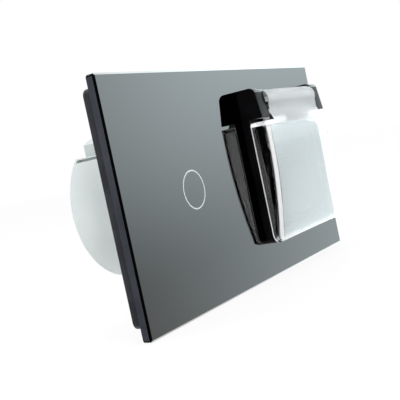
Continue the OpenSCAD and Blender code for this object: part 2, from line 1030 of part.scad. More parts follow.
module neck_hook() {
    translate([-hook_w / 2, 0, 0])
        wide(0, hook_w)
            translate([0, neck_w / 2])
                polygon([[print_back + seat, -neck_wall / 2], [print_back + seat, hook_reach], [neck_back, 0],
                    [neck_back, -neck_wall / 2]]);
}

module socket_collar() {
    lip_in = lid_wall + lip_gap;
    seal_in = (lid_wall - seal_w) / 2 - groove_gap;
    color([0.05, 0.05, 0.06])
        at_socket()
            difference() {
                union() {
                    deep(collar_front, glass_front)
                        collar_outline(0);
                    slab(neck_w, neck_w, neck_corner_r, collar_front, neck_back);
                    for (s = [0, 1])
                        mirror([s, 0, 0])
                            wide(ear_x, collar_w / 2)
                                ear_section();
                    collar_band(lip_in, lip_wall, collar_front - lip_h, collar_front + over);
                    for (a = [0, 90, 180, 270])
                        rotate([0, a, 0])
                            neck_hook();
                }
                slab(neck_inner, neck_inner, neck_corner_r - neck_wall,
                    collar_front - over, neck_back + over);
                hinge_trough();
                collar_band(seal_in, seal_w + 2 * groove_gap,
                    collar_front - over, collar_front + seal_t + groove_gap);
                gasket_ring(groove_gap, glass_front - gasket_t - groove_gap, glass_front + over);
                axle(pin_r, -collar_w / 2 + over, -ear_x + over);
                axle(pin_r, ear_x - over, collar_w / 2 - ear_skin);
                axle(spring_pocket_r, ear_x - over, spring_pocket_end);
                spring_leg_hole(spring_pocket_end - over, spring_tail + leg_gap, spring_last_angle());
            }
}

// Room for the lid's hinge barrel, open at the top
module hinge_trough() {
    axle(barrel_r + barrel_gap, -ear_x, ear_x);
    block([-ear_x, hinge_y - barrel_r - over, hinge_z],
        [ear_x, hinge_y + barrel_r + barrel_gap, collar_top + over]);
    block([-ear_x, crown_y, hinge_z + barrel_r], [ear_x, glass_front + over, collar_top + over]);
}

module gasket_ring(gap, y0, y1) {
    outer = 2 * (gasket_in + gasket_w + gap);
    inner = 2 * (gasket_in - gap);
    difference() {
        slab(outer, outer, neck_corner_r + gasket_out + gasket_w + gap, y0, y1);
        slab(inner, inner, neck_corner_r + gasket_out - gap, y0 - over, y1 + over);
    }
}

module collar_gasket() {
    color([0.15, 0.15, 0.15])
        at_socket()
            gasket_ring(0, glass_front - gasket_t, glass_front);
}

module lid_seal() {
    color([0.12, 0.12, 0.12])
        at_socket()
            collar_band((lid_wall - seal_w) / 2, seal_w, collar_front, collar_front + seal_t);
}

// Lid, hinge pins and spring

// Section across the lid: flat sides and rounded long edges, at the crown's radius
module crown_section(inset) {
    half = collar_w / 2 - inset;
    r = lid_edge_r - inset;
    outer = crown_r - inset;
    translate([outer - lid_deep, -half])
        square([lid_deep - r, 2 * half]);
    translate([outer - lid_deep, r - half])
        square([lid_deep, 2 * (half - r)]);
    for (s = [-1, 1])
        translate([outer - r, s * (half - r)])
            circle(r);
}

// The dome of the lid below the ears, drawn in by inset
module lid_dome(inset) {
    low = collar_bottom + inset;
    high = lid_shoulder - inset;
    half = collar_w / 2 - inset;
    corner_r = collar_corner_r - inset;
    top_r = max(shoulder_r - inset, least_round);
    foot_r = lid_bottom_r - inset;
    foot_z = low + foot_r;
    foot_y = lid_front(foot_z, inset + foot_r);
    lean = unit([foot_y - crown_mid_y, foot_z - crown_z]);
    reach = foot_r + over;
    difference() {
        intersection() {
            translate([0, crown_mid_y, crown_z])
                rotate([0, 90, 0])
                    rotate([0, 0, 270 - lid_sweep / 2])
                        rotate_extrude(angle = lid_sweep, $fn = 96)
                            crown_section(inset);
            block([-half - over, crown_y - over, low], [half + over, lid_rim + (inset > 0 ? over : 0), high]);
        }
        // The lower edge is rounded on the outside only
        if (inset == 0)
            wide(-half - over, half + over)
                translate([foot_y, foot_z])
                    difference() {
                        polygon([[0, 0], reach * lean, reach * (lean + [0, -1]), [0, -reach]]);
                        translate(round_lap * (lean + [0, -1]))
                            circle(foot_r);
                    }
        for (s = [0, 1])
            mirror([s, 0, 0])
                deep(crown_y - over, lid_rim + 2 * over) {
                    translate([half - corner_r, low + corner_r])
                        mirror([0, 1])
                            corner_waste(corner_r);
                    translate([half - top_r, high - top_r])
                        corner_waste(top_r);
                }
    }
}

// Section of the hinge band: a barrel on the axis and the skin that leads down to the dome
module band_section() {
    valley = hinge_y - barrel_r + valley_in;
    foot = lid_shoulder - lid_wall;
    translate([hinge_y, hinge_z])
        circle(barrel_r);
    front = lid_front(lid_shoulder) + crease;
    polygon([[hinge_y, foot], [front, foot], [front, lid_shoulder], [valley, valley_z], [valley, valley_top],
        [hinge_y, hinge_z]]);
}

// Hollow behind the skin of the hinge band, between the knuckles
module band_hollow() {
    valley = hinge_y - barrel_r + valley_in + lid_wall;
    foot = lid_shoulder - 2 * lid_wall;
    translate([hinge_y, hinge_z])
        circle(barrel_r - lid_wall);
    behind = hinge_y + barrel_r + over;
    inside = lid_front(lid_shoulder, lid_wall) + crease;
    polygon([[behind, foot], [inside, foot], [inside, lid_shoulder], [valley, valley_z], [valley, valley_top],
        [hinge_y, hinge_z], [behind, hinge_z]]);
}

module lid() {
    knuckle = band_x - knuckle_l;
    color([0.85, 0.9, 0.92, 0.4])
        at_socket()
            difference() {
                union() {
                    difference() {
                        lid_dome(0);
                        lid_dome(lid_wall);
                    }
                    wide(-band_x, band_x)
                        band_section();
                }
                wide(-knuckle, knuckle)
                    band_hollow();
                for (s = [0, 1])
                    mirror([s, 0, 0])
                        axle(pin_r + pin_clear, band_x - pin_in_lid - pin_end_gap, band_x + over);
                spring_leg_hole(spring_tip - leg_gap, band_x + over, spring_start_angle);
            }
}

module hinge_pins() {
    color([0.78, 0.78, 0.8])
        at_socket() {
            axle(pin_r, -collar_w / 2 + over, -band_x + pin_in_lid);
            axle(pin_r, band_x - pin_in_lid, collar_w / 2 - ear_skin - seat);
        }
}

// Unrolled path of the spring on its own cylinder: pairs of place along X and length round the cylinder
spring_run = 2 * PI * spring_r * spring_turns;
function spring_flat() = concat(
    [[spring_tip, 0]],
    [for (t = [0 : 30 : 60]) [spring_start - spring_bend * (1 - sin(t)), spring_bend * (1 - cos(t))]],
    [for (i = [0 : 8 * spring_turns])
        [spring_start + spring_pitch * i / 8, spring_bend + spring_run * i / (8 * spring_turns)]],
    [for (t = [30 : 30 : 90])
        [spring_end + spring_bend * (1 - cos(t)), spring_bend + spring_run + spring_bend * sin(t)]],
    [[spring_tail, spring_run + 2 * spring_bend]]);

function spring_angle(p) = spring_start_angle + p[1] / spring_r * 180 / PI;
function spring_out(p) = [0, cos(spring_angle(p)), sin(spring_angle(p))];
function spring_point(p) = [p[0], hinge_y, hinge_z] + spring_r * spring_out(p);
function spring_last_angle() = spring_start_angle + (spring_run + 2 * spring_bend) / spring_r * 180 / PI;

// Ring of a tube round point i of a path, with its first side along out
function unit(v) = v / norm(v);
function tube_ring(points, outs, i, r, sides) =
    let (
        last = len(points) - 1,
        along = unit(points[min(i + 1, last)] - points[max(i - 1, 0)]),
        out = unit(outs[i] - (outs[i] * along) * along),
        side = cross(along, out)
    )
    [for (k = [0 : sides - 1]) points[i] + r * (cos(360 * k / sides) * out + sin(360 * k / sides) * side)];

// Closed tube swept along a path
module swept_tube(points, outs, r, sides = 6) {
    n = len(points);
    rings = [for (i = [0 : n - 1]) each tube_ring(points, outs, i, r, sides)];
    walls = [for (i = [0 : n - 2], k = [0 : sides - 1])
        let (a = i * sides + k, b = i * sides + (k + 1) % sides)
        each [[a, a + sides, b], [b, a + sides, b + sides]]];
    first = [for (k = [1 : sides - 2]) [0, k, k + 1]];
    end = (n - 1) * sides;
    last = [for (k = [1 : sides - 2]) [end, end + k + 1, end + k]];
    polyhedron(rings, concat(walls, first, last));
}

// Least gap of the spring wire to itself, between points at least half a turn apart
spring_points = [for (p = spring_flat()) spring_point(p)];
spring_self_gap = min([for (i = [0 : len(spring_points) - 1], j = [i + 5 : 1 : len(spring_points) - 1])
    norm(spring_points[i] - spring_points[j])]) - spring_wire;
echo(spring_self_gap = spring_self_gap);

module lid_spring() {
    color([0.7, 0.7, 0.72])
        at_socket()
            swept_tube(spring_points, [for (p = spring_flat()) spring_out(p)], spring_wire / 2);
}

// Hole along X for one leg of the spring
module spring_leg_hole(x0, x1, angle) {
    translate([0, spring_r * cos(angle), spring_r * sin(angle)])
        axle(spring_hole_r, x0, x1);
}

// Plug recess, shutter and contacts

module pin_places() {
    for (s = [-1, 1])
        translate([s * pin_spacing / 2, 0, 0])
            children();
}

module socket_insert() {
    color([0.06, 0.06, 0.07])
        at_socket()
            difference() {
                union() {
                    difference() {
                        union() {
                            slab(face_w, face_w, neck_corner_r, face_front, face_front + face_t);
                            drum(bowl_r, neck_back, chamber_back);
                            intersection() {
                                drum(bowl_r, face_front, neck_back);
                                slab(face_w, face_w, neck_corner_r, face_front, neck_back);
                            }
                        }
                        drum(recess_r, face_front - over, recess_floor);
                        drum(chamber_r, chamber_front, chamber_back + over);
                    }
                    drum(pivot_d / 2, recess_floor, chamber_back - seat * 2);
                    for (s = [0, 1])
                        mirror([s, 0, 0])
                            guide_rib();
                }
                pin_places()
                    drum(pin_hole_d / 2, recess_floor - over, chamber_front + over);
                drum(insert_hole_r, recess_floor - over, chamber_back + over);
                taper(insert_head_r + seat, insert_hole_r, recess_floor, recess_floor + insert_head_h);
                for (s = [0, 1])
                    mirror([0, 0, s])
                        block([-strap_w / 2 - strap_gap, strap_tip_y - strap_gap, recess_r - over * 2],
                            [strap_w / 2 + strap_gap, strap_tip_y + strap_t + strap_gap, bowl_r + over]);
                block([chamber_r - over, shutter_front, blade_z - blade_t - seat],
                    [chamber_r + blade_in + seat, chamber_back + over, blade_z + seat]);
            }
}

// Rib at the side of the recess that keeps a plug the right way round
module guide_rib() {
    intersection() {
        drum(recess_r + seat, face_front + face_t, recess_floor + seat);
        block([recess_r - rib_h, face_front + face_t, -rib_w / 2], [bowl_r, recess_floor + seat, rib_w / 2]);
    }
}

module insert_screw() {
    color([0.8, 0.8, 0.82])
        at_socket()
            difference() {
                union() {
                    taper(insert_head_r, insert_screw_r, recess_floor, recess_floor + insert_head_h);
                    drum(insert_screw_r, recess_floor, base_floor_front + housing_wall / 2);
                }
                for (a = [0, 90])
                    rotate([0, a, 0])
                        block([-insert_cross_r, recess_floor - over, -insert_cross_w / 2],
                            [insert_cross_r, recess_floor + insert_head_h / 2, insert_cross_w / 2]);
            }
}

// Two-armed shutter that covers both pin holes until two pins turn it aside
module shutter() {
    color([0.85, 0.4, 0.1])
        at_socket()
            difference() {
                union() {
                    block([-pin_spacing / 2, shutter_front, -shutter_bar_w / 2],
                        [pin_spacing / 2, shutter_back, shutter_bar_w / 2]);
                    drum(hub_r, shutter_front, shutter_back);
                    pin_places()
                        drum(lobe_r, shutter_front, shutter_back);
                }
                drum(pivot_d / 2 + pin_clear, shutter_front - over, shutter_back + over);
                for (a = [0, 180])
                    rotate([0, a, 0])
                        translate([pin_spacing / 2, shutter_front, ramp_z])
                            rotate([ramp_tilt, 0, 0])
                                block([-lobe_r, -shutter_t * 2, -over], [lobe_r * 2, 0, lobe_r * 2]);
            }
}

// Flat blade that turns the shutter back
module shutter_spring() {
    low = shutter_front + blade_side;
    color([0.7, 0.7, 0.72])
        at_socket()
            block([blade_start, low, blade_z - blade_t], [chamber_r + blade_in, low + blade_w, blade_z]);
}

module contact_carrier() {
    color([0.85, 0.85, 0.8])
        at_socket()
            difference() {
                slab(carrier_w, carrier_h, carrier_corner_r, carrier_front, carrier_back);
                pin_places()
                    drum(tube_r + seat, carrier_front - over, carrier_back + over);
                drum(insert_hole_r, carrier_front - over, carrier_back + over);
                block([-strap_w / 2 - strap_gap, carrier_front - over, -carrier_h],
                    [strap_w / 2 + strap_gap, strap_back + strap_gap, carrier_h]);
                for (s = [0, 1])
                    mirror([s, 0, 0])
                        riser(riser_gap);
            }
}

// Strip that joins a contact tube to its clamp
module riser(gap) {
    side = pin_spacing / 2 - seat;
    block([side - riser_w - gap, riser_back - riser_t - gap, tube_r - tube_wall / 2 - gap],
        [side + gap, riser_back + gap, base_term_z + gap]);
}

// Split tube that grips a plug pin
module contact(s) {
    color([0.82, 0.68, 0.32])
        at_socket()
            mirror([s, 0, 0])
                difference() {
                    union() {
                        translate([pin_spacing / 2, 0, 0])
                            drum(tube_r, tube_front, tube_back);
                        riser(0);
                    }
                    translate([pin_spacing / 2, 0, 0])
                        drum(tube_r - tube_wall, tube_front - over, tube_back + over);
                    translate([pin_spacing / 2, 0, 0])
                        block([-tube_slot / 2, tube_front - over, -tube_r - over],
                            [tube_slot / 2, tube_back + over, 0]);
                }
}

module live_contact() {
    contact(1);
}

module neutral_contact() {
    contact(0);
}

// Strap that joins the two earth clips of the recess and feeds the middle clamp
module earth_strap() {
    outer = strap_z + strap_t;
    tip_z = recess_r - strap_tip_in;
    color([0.78, 0.7, 0.45])
        at_socket()
            difference() {
                union() {
                    wide(-strap_w / 2, strap_w / 2) {
                        translate([strap_front, -outer])
                            square([strap_t, 2 * outer]);
                        for (s = [0, 1])
                            mirror([0, s]) {
                                translate([strap_tip_y, strap_z])
                                    square([strap_back - strap_tip_y, strap_t]);
                                translate([strap_tip_y, tip_z])
                                    square([strap_t, outer - tip_z]);
                                translate([strap_tip_y + strap_t / 2, tip_z])
                                    circle(strap_t / 2);
                            }
                    }
                    block([-strap_w / 4, strap_front, base_term_z - strap_t],
                        [strap_w / 4, riser_back, base_term_z]);
                }
                drum(insert_hole_r, strap_front - over, strap_back + over);
            }
}

module socket_housing() {
    color([0.9, 0.92, 0.92])
        at_socket()
            difference() {
                union() {
                    difference() {
                        slab(base_w, base_w, base_corner_r, 0, base_back);
                        slab(base_inner, base_inner, base_corner_r - housing_wall, -over, base_floor_front);
                    }
                    corners(socket_screw_x)
                        drum(boss_r, 0, boss_depth);
                    drum(base_boss_r, carrier_back, base_back);
                }
                corners(socket_screw_x)
                    drum(screw_r, -over, screw_end + seat);
                bowl_passage(-over, strap_back + strap_gap);
                drum(insert_screw_r, carrier_back - over, base_floor_front + housing_wall / 2 + seat);
                term_window(base_back, base_term_z);
                term_access(base_back, base_term_z, base_half);
            }
}

module socket_terminals() {
    color([0.2, 0.5, 0.35])
        at_socket()
            term_bodies(base_back, base_term_z);
}

module socket_clamps() {
    color([0.8, 0.65, 0.3])
        at_socket()
            term_clamps(base_back, base_term_z, riser_back);
}

module socket_clamp_screws() {
    color([0.75, 0.75, 0.78])
        at_socket()
            term_screws(base_back, base_term_z);
}

glass_panel();
back_print();
rear_frame();
light_guide();
touch_pad();
touch_board();
touch_chip();
indicator_leds();
board_header();
switch_tray();
switch_yoke();
switch_screws();
switch_housing();
power_board();
relay();
film_capacitor();
storage_capacitor();
choke();
switch_terminals();
switch_clamps();
switch_clamp_screws();
socket_collar();
collar_gasket();
lid_seal();
lid();
hinge_pins();
lid_spring();
socket_insert();
insert_screw();
shutter();
shutter_spring();
contact_carrier();
live_contact();
neutral_contact();
earth_strap();
socket_tray();
socket_yoke();
socket_screws();
socket_housing();
socket_terminals();
socket_clamps();
socket_clamp_screws();
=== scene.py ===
import json
import math
import bmesh
import bpy
from mathutils import Matrix, Vector

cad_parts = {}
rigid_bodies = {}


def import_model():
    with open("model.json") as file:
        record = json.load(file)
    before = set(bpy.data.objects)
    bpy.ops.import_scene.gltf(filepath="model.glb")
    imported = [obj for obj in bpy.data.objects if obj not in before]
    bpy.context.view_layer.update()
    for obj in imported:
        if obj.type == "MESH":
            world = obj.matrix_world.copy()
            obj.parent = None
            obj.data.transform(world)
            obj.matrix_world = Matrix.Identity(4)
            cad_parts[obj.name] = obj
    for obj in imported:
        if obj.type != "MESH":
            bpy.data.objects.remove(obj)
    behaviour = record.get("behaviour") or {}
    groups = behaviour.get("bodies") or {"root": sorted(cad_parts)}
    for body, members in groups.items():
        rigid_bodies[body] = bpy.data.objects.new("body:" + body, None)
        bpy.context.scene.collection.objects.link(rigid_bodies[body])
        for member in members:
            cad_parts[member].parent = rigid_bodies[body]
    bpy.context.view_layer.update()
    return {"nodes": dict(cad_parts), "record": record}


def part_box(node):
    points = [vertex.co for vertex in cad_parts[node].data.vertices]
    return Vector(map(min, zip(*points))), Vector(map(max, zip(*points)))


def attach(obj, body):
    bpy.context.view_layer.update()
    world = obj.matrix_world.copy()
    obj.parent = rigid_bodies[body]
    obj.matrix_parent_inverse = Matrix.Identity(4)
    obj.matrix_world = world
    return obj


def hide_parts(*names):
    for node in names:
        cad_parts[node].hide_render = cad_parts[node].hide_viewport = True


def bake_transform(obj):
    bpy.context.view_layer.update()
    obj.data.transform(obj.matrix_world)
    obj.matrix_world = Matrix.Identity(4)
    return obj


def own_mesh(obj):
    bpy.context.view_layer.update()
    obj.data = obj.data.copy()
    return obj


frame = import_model()
mm = 0.001
gangMiddle = 35.5  # mm from the middle of the plate to the middle of each half
record = frame["record"]
slotOf = {part["node"]: part["material_slot"] for part in record["subparts"]}
bodyOf = {node: body for body, nodes in record["behaviour"]["bodies"].items() for node in nodes}
print("frame loaded:", len(frame["nodes"]), "nodes")


def link(thing):
    bpy.context.scene.collection.objects.link(thing)
    return thing


# Camera, where the photograph was taken from

photoCamera = dict(
    place=(-260.22, -150.36, 9.755),  # mm, in the frame of the part
    right=(0.51105, -0.83395, -0.20822),
    up=(0.15291, -0.15017, 0.97676),
    lens=72.652,  # mm
    sensor=36,  # mm wide
    near=10,
    far=20000,
)


def addCamera(spec):
    data = bpy.data.cameras.new("photoCamera")
    data.sensor_fit = "HORIZONTAL"
    data.sensor_width = spec["sensor"]
    data.lens = spec["lens"]
    data.clip_start = spec["near"] * mm
    data.clip_end = spec["far"] * mm
    camera = link(bpy.data.objects.new("photoCamera", data))
    right = Vector(spec["right"]).normalized()
    up = Vector(spec["up"]).normalized()
    turn = Matrix((right, up, right.cross(up))).transposed().to_4x4()
    camera.matrix_world = Matrix.Translation(Vector(spec["place"]) * mm) @ turn
    bpy.context.scene.camera = camera


addCamera(photoCamera)
bpy.context.scene.view_settings.view_transform = "Standard"
print("camera set")


# Node helpers for finishes and the surroundings

def startFinish(name):
    finish = bpy.data.materials.new(name)
    finish.use_nodes = True
    tree = finish.node_tree
    return finish, tree, tree.nodes["Principled BSDF"]


def maths(tree, kind, *values):
    node = tree.nodes.new("ShaderNodeMath")
    node.operation = kind
    for socket, value in zip(node.inputs, values):
        if isinstance(value, (int, float)):
            socket.default_value = value
        else:
            tree.links.new(value, socket)
    return node.outputs[0]


def fade(tree, value, ends, low=0.0, high=1.0):
    reach = tree.nodes.new("ShaderNodeMapRange")
    reach.interpolation_type = "SMOOTHSTEP"
    for socket, number in zip(("From Min", "From Max", "To Min", "To Max"), (*ends, low, high)):
        reach.inputs[socket].default_value = number
    tree.links.new(value, reach.inputs["Value"])
    return reach.outputs["Result"]


def spread(tree, value, low, high):
    reach = tree.nodes.new("ShaderNodeMapRange")
    reach.inputs["To Min"].default_value = low
    reach.inputs["To Max"].default_value = high
    tree.links.new(value, reach.inputs["Value"])
    return reach.outputs["Result"]


def blendColours(tree, share, first, second):
    mix = tree.nodes.new("ShaderNodeMix")
    mix.data_type = "RGBA"
    tree.links.new(share, mix.inputs["Factor"])
    mix.inputs["A"].default_value = (*first, 1)
    mix.inputs["B"].default_value = (*second, 1)
    return mix.outputs["Result"]


def objectCoords(tree, stretch=(1, 1, 1)):
    coords = tree.nodes.new("ShaderNodeTexCoord")
    mapping = tree.nodes.new("ShaderNodeMapping")
    mapping.inputs["Scale"].default_value = stretch
    tree.links.new(coords.outputs["Object"], mapping.inputs["Vector"])
    return mapping.outputs["Vector"]


def noise(tree, vector, scale, detail=2.0, roughness=0.5):
    texture = tree.nodes.new("ShaderNodeTexNoise")
    texture.inputs["Scale"].default_value = scale
    texture.inputs["Detail"].default_value = detail
    texture.inputs["Roughness"].default_value = roughness
    tree.links.new(vector, texture.inputs["Vector"])
    return texture.outputs["Fac"]


cloudDetail = 3.0
cloudEnds = (0.35, 0.65)  # where in the noise the dark tone ends and the light one starts
grainDepth = 0.05  # mm


def clouded(tree, vector, look, shader):
    cloud = noise(tree, vector, look["cloud"], cloudDetail)
    steps = tree.nodes.new("ShaderNodeValToRGB")
    for step, position, tone in zip(steps.color_ramp.elements, cloudEnds, (look["dark"], look["light"])):
        step.position = position
        step.color = (*tone, 1)
    tree.links.new(cloud, steps.inputs["Fac"])
    tree.links.new(steps.outputs["Color"], shader.inputs["Base Color"])
    return cloud


# Plain finishes: opaque ones with a grain, and clear ones

def moulded(name, look):
    finish, tree, shader = startFinish(name)
    vector = objectCoords(tree, look.get("stretch", (1, 1, 1)))
    clouded(tree, vector, look, shader)
    grain = noise(tree, vector, look["grain"])
    tree.links.new(spread(tree, grain, *look["rough"]), shader.inputs["Roughness"])
    shader.inputs["Metallic"].default_value = look.get("metallic", 0.0)
    shader.inputs["Specular IOR Level"].default_value = look.get("specular", 0.5)
    # painted glow: emission on a part that is no lamp, the lid's frosted edge
    if "glow" in look:
        shader.inputs["Emission Color"].default_value = (*look["light"], 1)
        shader.inputs["Emission Strength"].default_value = look["glow"]
    relief = tree.nodes.new("ShaderNodeBump")
    relief.inputs["Strength"].default_value = look["relief"]
    relief.inputs["Distance"].default_value = grainDepth * mm
    tree.links.new(grain, relief.inputs["Height"])
    tree.links.new(relief.outputs["Normal"], shader.inputs["Normal"])
    return finish


def clear(name, look):
    finish, tree, shader = startFinish(name)
    cloud = clouded(tree, objectCoords(tree), look, shader)
    tree.links.new(spread(tree, cloud, *look["rough"]), shader.inputs["Roughness"])
    shader.inputs["Transmission Weight"].default_value = look["clearness"]
    shader.inputs["IOR"].default_value = look["ior"]
    return finish


glassLook = dict(
    cloud=30, dark=(0.93, 0.97, 0.96), light=(0.96, 0.985, 0.98), rough=(0.0, 0.01), clearness=1.0, ior=1.52)
bevelLook = dict(  # light that the glass turns back at its polished bevel
    cloud=80, grain=2600, dark=(0.40, 0.385, 0.38), light=(0.45, 0.435, 0.43), rough=(0.04, 0.1), relief=0.0,
    metallic=1.0)
groundLook = dict(
    cloud=80, grain=2600, dark=(0.036, 0.040, 0.052), light=(0.052, 0.056, 0.070), rough=(0.4, 0.55), relief=0.1,
    specular=0.3)
guideLook = dict(
    cloud=400, dark=(0.80, 0.84, 0.85), light=(0.90, 0.93, 0.93), rough=(0.25, 0.4), clearness=0.2, ior=1.49)
printLook = dict(
    cloud=60, grain=900, dark=(0.004, 0.0045, 0.005), light=(0.006, 0.0065, 0.007), rough=(0.6, 0.7), relief=0.0,
    specular=0.2)
frameLook = dict(
    cloud=90, grain=1800, dark=(0.042, 0.044, 0.051), light=(0.066, 0.068, 0.077), rough=(0.38, 0.55), relief=0.12,
    specular=0.45)
collarLook = dict(
    cloud=90, grain=2200, dark=(0.003, 0.003, 0.0035), light=(0.006, 0.006, 0.007), rough=(0.12, 0.24), relief=0.03)
earLook = dict(  # fine texture on the collar's front
    cloud=90, grain=2200, dark=(0.003, 0.003, 0.0035), light=(0.006, 0.006, 0.007), rough=(0.35, 0.5), relief=0.06,
    specular=0.08)
insertLook = dict(
    cloud=90, grain=2600, dark=(0.002, 0.002, 0.0023), light=(0.005, 0.005, 0.0055), rough=(0.8, 0.95), relief=0.18,
    specular=0.0)
recessLook = dict(
    cloud=90, grain=2200, dark=(0.008, 0.008, 0.009), light=(0.014, 0.014, 0.015), rough=(0.3, 0.45), relief=0.06,
    specular=0.45)
paintedGlowEdgeLook = dict(  # pale frosted edge with a painted glow: emission that stands in for light running along the clear lid and leaving at the edge
    cloud=300, grain=1800, dark=(0.82, 0.84, 0.85), light=(0.92, 0.93, 0.94), rough=(0.5, 0.7), relief=0.1, glow=0.6)
paleLook = dict(
    cloud=50, grain=1500, dark=(0.74, 0.805, 0.80), light=(0.80, 0.86, 0.855), rough=(0.32, 0.48), relief=0.06)
yokeLook = dict(
    cloud=70, grain=900, stretch=(1, 1, 0.06), dark=(0.52, 0.53, 0.54), light=(0.68, 0.69, 0.7), rough=(0.25, 0.42),
    relief=0.1, metallic=1.0)
turnedLook = dict(
    cloud=300, grain=1400, dark=(0.56, 0.56, 0.57), light=(0.74, 0.74, 0.75), rough=(0.2, 0.35), relief=0.06,
    metallic=1.0)
springLook = dict(
    cloud=500, grain=2500, dark=(0.45, 0.45, 0.46), light=(0.62, 0.62, 0.64), rough=(0.2, 0.32), relief=0.05,
    metallic=1.0)
brassLook = dict(
    cloud=200, grain=1500, dark=(0.62, 0.42, 0.14), light=(0.78, 0.58, 0.24), rough=(0.22, 0.4), relief=0.05,
    metallic=1.0)
rubberLook = dict(
    cloud=120, grain=2600, dark=(0.012, 0.012, 0.012), light=(0.022, 0.022, 0.022), rough=(0.6, 0.8), relief=0.2,
    specular=0.3)
foamLook = dict(
    cloud=500, grain=4000, dark=(0.03, 0.03, 0.033), light=(0.07, 0.07, 0.075), rough=(0.75, 0.95), relief=0.6)
boardLook = dict(
    cloud=240, grain=1600, dark=(0.006, 0.06, 0.028), light=(0.012, 0.11, 0.05), rough=(0.25, 0.4), relief=0.05)
terminalLook = dict(
    cloud=160, grain=1800, dark=(0.03, 0.14, 0.085), light=(0.05, 0.19, 0.12), rough=(0.4, 0.55), relief=0.08)
chipLook = dict(
    cloud=500, grain=3000, dark=(0.006, 0.006, 0.006), light=(0.014, 0.014, 0.014), rough=(0.5, 0.65), relief=0.15)
lensLook = dict(
    cloud=800, dark=(0.8, 0.72, 0.45), light=(0.9, 0.84, 0.62), rough=(0.1, 0.2), clearness=0.4, ior=1.5)
relayLook = dict(
    cloud=150, grain=1700, dark=(0.008, 0.03, 0.16), light=(0.014, 0.05, 0.22), rough=(0.35, 0.5), relief=0.06)
filmLook = dict(
    cloud=200, grain=900, dark=(0.40, 0.25, 0.03), light=(0.52, 0.34, 0.05), rough=(0.15, 0.3), relief=0.08)
canLook = dict(
    cloud=200, grain=1200, dark=(0.02, 0.02, 0.03), light=(0.04, 0.04, 0.055), rough=(0.25, 0.4), relief=0.05)
ferriteLook = dict(
    cloud=300, grain=2400, dark=(0.012, 0.011, 0.011), light=(0.03, 0.028, 0.027), rough=(0.55, 0.8), relief=0.3)
shutterLook = dict(
    cloud=140, grain=1700, dark=(0.5, 0.12, 0.012), light=(0.62, 0.17, 0.02), rough=(0.35, 0.5), relief=0.07)
carrierLook = dict(
    cloud=130, grain=1500, dark=(0.55, 0.53, 0.46), light=(0.66, 0.64, 0.57), rough=(0.45, 0.6), relief=0.1)


# Black glass with the pale touch ring

blackGlassLook = dict(
    ringAt=(-gangMiddle, 0.0),  # mm, across and up
    ringR=6.375,
    ringHalf=0.22,  # half the width of its line
    ringEdge=0.08,
    ring=(0.46, 0.49, 0.50),
    black=(0.0, 0.0, 0.0),
    smear=14,
    smearDetail=4.0,
    smearRoughness=0.6,
    rough=(0.0, 0.02),
    ior=1.52,
)


def blackGlass(name, look):
    finish, tree, shader = startFinish(name)
    vector = objectCoords(tree)
    split = tree.nodes.new("ShaderNodeSeparateXYZ")
    tree.links.new(vector, split.inputs["Vector"])
    flat = tree.nodes.new("ShaderNodeCombineXYZ")
    for axis, socket, middle in zip("XZ", "XY", look["ringAt"]):
        tree.links.new(maths(tree, "SUBTRACT", split.outputs[axis], middle * mm), flat.inputs[socket])
    away = tree.nodes.new("ShaderNodeVectorMath")
    away.operation = "LENGTH"
    tree.links.new(flat.outputs["Vector"], away.inputs[0])
    gap = maths(tree, "ABSOLUTE", maths(tree, "SUBTRACT", away.outputs["Value"], look["ringR"] * mm))
    line = fade(tree, gap, [(look["ringHalf"] + side * look["ringEdge"]) * mm for side in (1, -1)])
    tree.links.new(blendColours(tree, line, look["black"], look["ring"]), shader.inputs["Base Color"])
    smear = noise(tree, vector, look["smear"], look["smearDetail"], look["smearRoughness"])
    tree.links.new(spread(tree, smear, *look["rough"]), shader.inputs["Roughness"])
    shader.inputs["IOR"].default_value = look["ior"]
    return finish


# Clear plastic of the lid: its edges that turn towards the front are made less clear, so that their white shows as a
# painted highlight, and its hinge band scatters light

lidLook = dict(
    cloud=60,
    dark=(0.975, 0.985, 0.988),
    light=(0.99, 0.995, 0.997),
    ior=1.585,
    clearness=1.0,
    rough=0.01,
    roundClearness=0.35,
    roundFrom=(0.52, 0.66),  # painted highlight: how far an edge faces the front, where it starts and ends
    roundTo=(0.945, 0.972),
    topFrom=(0.2, 0.4),  # less of the painted highlight at the top
    topShare=0.25,
    coatFrom=(-0.90, -0.96),  # hard coat on the front
    coatRough=0.01,
    bandFrom=15.2,  # mm up
    bandTo=17.2,
    bandClearness=0.8,
    bandRough=0.38,
    endFrom=(0.6, 0.85),  # the band's ends and back stay clear
    backFrom=(0.2, 0.5),
)


